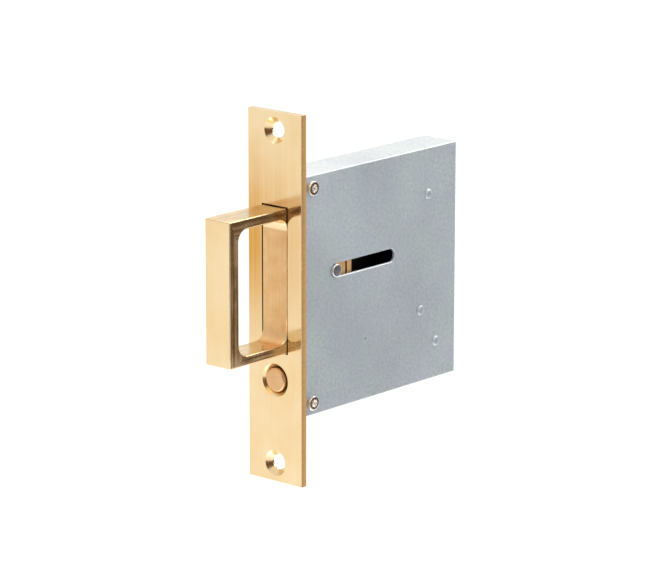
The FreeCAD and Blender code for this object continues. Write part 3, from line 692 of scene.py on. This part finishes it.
def pullTail(p):
    # the solid's own tail: a merged copy of the node, kept behind the plane where the frame ends; milled, with
    # painted shade darkening the groove round it
    work = mergedCopy("pull_handle")
    parts = work.verts[:] + work.edges[:] + work.faces[:]
    cut = bmesh.ops.bisect_plane(work, geom=parts, plane_co=(0, p["outerY"][1] / 1000, 0), plane_no=(0, 1, 0),
                                 clear_inner=True)
    bmesh.ops.holes_fill(work, edges=[e for e in cut["geom_cut"] if isinstance(e, bmesh.types.BMEdge)])
    made = bpy.data.meshes.new("pullTailCopy")
    work.to_mesh(made)
    work.free()
    middles = facesOf(made)[1] * 1000
    aside, back = np.abs(middles[:, 0]), middles[:, 1]
    # faces in the groove get the painted shade
    inGroove = ((p["grooveY"][0] < back) & (back < p["grooveY"][1])
                & (p["halfWidth"] / 2 < aside) & (aside < p["halfWidth"] - p["grooveSkin"]))
    paint = np.where(inGroove, paintOf["grooveShade"], paintOf["milled"])
    made.polygons.foreach_set("material_index", paint.astype(np.int32))
    return made


pullPiece = addPiece("pullOnePiece", [pullFrame(pull)], "pull", list(pullFinishes.values()),
                     ["pull_handle"], joined=pullTail(pull))
keepFlats(pullPiece.data, flatFaces(pullPiece.data))
print("pull made")


# camera: fitted to the edges of the object, 41 degrees round from the front and 14 above the horizon
viewpoint = {"azimuth": 41.05, "elevation": 13.993, "roll": 0.077, "distance": 1.34207,
             "target": (0.00255, 0.02588, -0.00303), "focalPx": 3690.0, "widthPx": 665, "sensorMm": 36,
             "clip": (0.05, 30)}


def placeCamera(v):
    turn, rise = math.radians(v["azimuth"]), math.radians(v["elevation"])
    back = Vector((math.sin(turn) * math.cos(rise), -math.cos(turn) * math.cos(rise), math.sin(rise)))
    right = Vector((math.cos(turn), math.sin(turn), 0))
    up = back.cross(right)
    spot = Vector(v["target"]) + back * v["distance"]
    lens = bpy.data.cameras.new("studioLens")
    lens.sensor_width = v["sensorMm"]
    lens.lens = v["focalPx"] / v["widthPx"] * v["sensorMm"]
    lens.clip_start, lens.clip_end = v["clip"]
    camera = bpy.data.objects.new("studioCamera", lens)
    bpy.context.scene.collection.objects.link(camera)
    axes = Matrix((right, up, back)).transposed().to_4x4()
    camera.matrix_world = Matrix.Translation(spot) @ axes @ Matrix.Rotation(math.radians(v["roll"]), 4, "Z")
    bpy.context.scene.camera = camera


placeCamera(viewpoint)
print("camera placed")


# studio: white floor with a lit pool, soft lamps, a dark flag at the back right and the dark room behind the camera;
# only reflections see these two
studio = {"floorDrop": 0.45, "floorRadius": 4.6, "floorSides": 96, "floorColour": "#D8D8D6", "floorGlow": 0.38,
          "cameraGlow": 0.5, "poolGlow": 1.7, "poolRadius": 0.55, "worldGrey": 0.88,
          "flagColour": "#6A5646", "flagX": 0.9, "flagY": (0.05, 1.7), "flagTop": 0.05,
          "roomColour": "#664526", "roomDistance": 1.8, "roomHalf": 0.7, "roomTop": 1.3}


def linkMesh(name, points, faces):
    mesh = bpy.data.meshes.new(name)
    mesh.from_pydata([tuple(p) for p in points], [], faces)
    made = bpy.data.objects.new(name, mesh)
    bpy.context.scene.collection.objects.link(made)
    return made


def layFloor(s):
    # a disc: points at equal turns on one circle, all at the floor's height; it glows a little to the camera, and
    # reflections see a pool of light in its middle
    turn = np.linspace(0, 2 * np.pi, s["floorSides"], endpoint=False)
    height = np.full_like(turn, cadLow.z - s["floorDrop"])
    ring = np.stack([s["floorRadius"] * np.cos(turn), s["floorRadius"] * np.sin(turn), height], 1)
    floor = linkMesh("studioFloor", ring.tolist(), [list(range(len(turn)))])
    made, tree, place = startMaterial("paleFloor")
    path = addNode(tree, "ShaderNodeLightPath")
    mirrored = addNode(tree, "ShaderNodeMath", {"operation": "MAXIMUM"},
                       {0: path.outputs["Is Glossy Ray"], 1: path.outputs["Is Transmission Ray"]})
    direct = addNode(tree, "ShaderNodeMath", {"operation": "MULTIPLY"},
                     {0: path.outputs["Is Camera Ray"], 1: s["cameraGlow"]})
    middle = addNode(tree, "ShaderNodeMapping", {"vector_type": "TEXTURE"},
                     {"Vector": place, "Location": (0, 0, height[0]), "Scale": [s["poolRadius"]] * 3})
    pool = addNode(tree, "ShaderNodeTexGradient", {"gradient_type": "QUADRATIC_SPHERE"},
                   {"Vector": middle.outputs[0]})
    level = addNode(tree, "ShaderNodeMapRange",
                    inputs={"Value": pool.outputs["Fac"], "To Min": s["floorGlow"],
                            "To Max": s["floorGlow"] + s["poolGlow"]})
    glow = addNode(tree, "ShaderNodeMath", {"operation": "MULTIPLY_ADD"},
                   {0: mirrored.outputs[0], 1: level.outputs["Result"], 2: direct.outputs[0]})
    matt = addNode(tree, "ShaderNodeBsdfDiffuse", inputs={"Color": hexLinear(s["floorColour"])})
    lit = addNode(tree, "ShaderNodeEmission", inputs={"Strength": glow.outputs[0]})
    closeMaterial(tree, addNode(tree, "ShaderNodeAddShader", inputs={0: matt.outputs[0], 1: lit.outputs[0]}))
    floor.data.materials.append(made)


def standCard(name, colour, left, right, low, high):
    # an upright rectangle between two places on plan, from one height to another
    corners = [(*left, low), (*left, high), (*right, high), (*right, low)]
    card = linkMesh(name, corners, [[0, 1, 2, 3]])
    made, tree, _ = startMaterial(name + "Felt")
    felt = addNode(tree, "ShaderNodeEmission", inputs={"Color": hexLinear(colour), "Strength": 1.0})
    closeMaterial(tree, felt)
    card.data.materials.append(made)
    card.visible_camera = card.visible_diffuse = card.visible_shadow = card.visible_transmission = False


def standCards(s):
    foot = cadLow.z - s["floorDrop"]
    x, (y0, y1) = s["flagX"], s["flagY"]
    standCard("darkFlag", s["flagColour"], (x, y0), (x, y1), foot, s["flagTop"])
    turn = math.radians(viewpoint["azimuth"])
    middle = np.array((math.sin(turn), -math.cos(turn))) * s["roomDistance"]
    aside = np.array((math.cos(turn), math.sin(turn))) * s["roomHalf"]
    standCard("darkRoom", s["roomColour"], (middle - aside).tolist(), (middle + aside).tolist(), foot, s["roomTop"])


def setWorld(s):
    # white to the camera, a little greyer as light and in reflections
    world = bpy.data.worlds.new("whiteStudio")
    bpy.context.scene.world = world
    world.use_nodes = True
    tree = world.node_tree
    tree.nodes.clear()
    path = addNode(tree, "ShaderNodeLightPath")
    strength = addNode(tree, "ShaderNodeMapRange",
                       inputs={"Value": path.outputs["Is Camera Ray"], "To Min": s["worldGrey"], "To Max": 1.0})
    sky = addNode(tree, "ShaderNodeBackground",
                  inputs={"Color": (1, 1, 1, 1), "Strength": strength.outputs["Result"]})
    addNode(tree, "ShaderNodeOutputWorld", inputs={"Surface": sky.outputs[0]})


lamps = {
    "backLeftSoftbox": {"spot": (-0.62, 0.75, 0.85), "size": (0.8, 0.6), "watts": 2.4, "tint": "#FFF0E0"},
    "topSoftbox": {"spot": (-0.15, 0.05, 1.00), "size": (0.9, 0.9), "watts": 3.7, "tint": "#FFEEDC"},
    "rearHighSoftbox": {"spot": (0.30, 0.92, 0.80), "size": (0.7, 0.5), "watts": 8.0, "tint": "#FFF2E4"},
    "rightStrip": {"spot": (0.84, 0.15, 0.10), "size": (0.12, 0.5), "watts": 0.55, "tint": "#DDE8FF"},
}
lampAim = (0, 0.03, 0)


def hangLamp(name, lamp):
    light = bpy.data.lights.new(name, "AREA")
    light.shape, light.size, light.size_y = "RECTANGLE", *lamp["size"]
    light.energy, light.color = lamp["watts"], hexLinear(lamp["tint"])[:3]
    made = bpy.data.objects.new(name, light)
    bpy.context.scene.collection.objects.link(made)
    aim = Vector(lampAim) - Vector(lamp["spot"])
    made.matrix_world = Matrix.Translation(lamp["spot"]) @ aim.to_track_quat("-Z", "Y").to_matrix().to_4x4()


layFloor(studio)
standCards(studio)
setWorld(studio)
for name, lamp in lamps.items():
    hangLamp(name, lamp)
bpy.context.scene.view_settings.view_transform = "Standard"
print("studio lit")
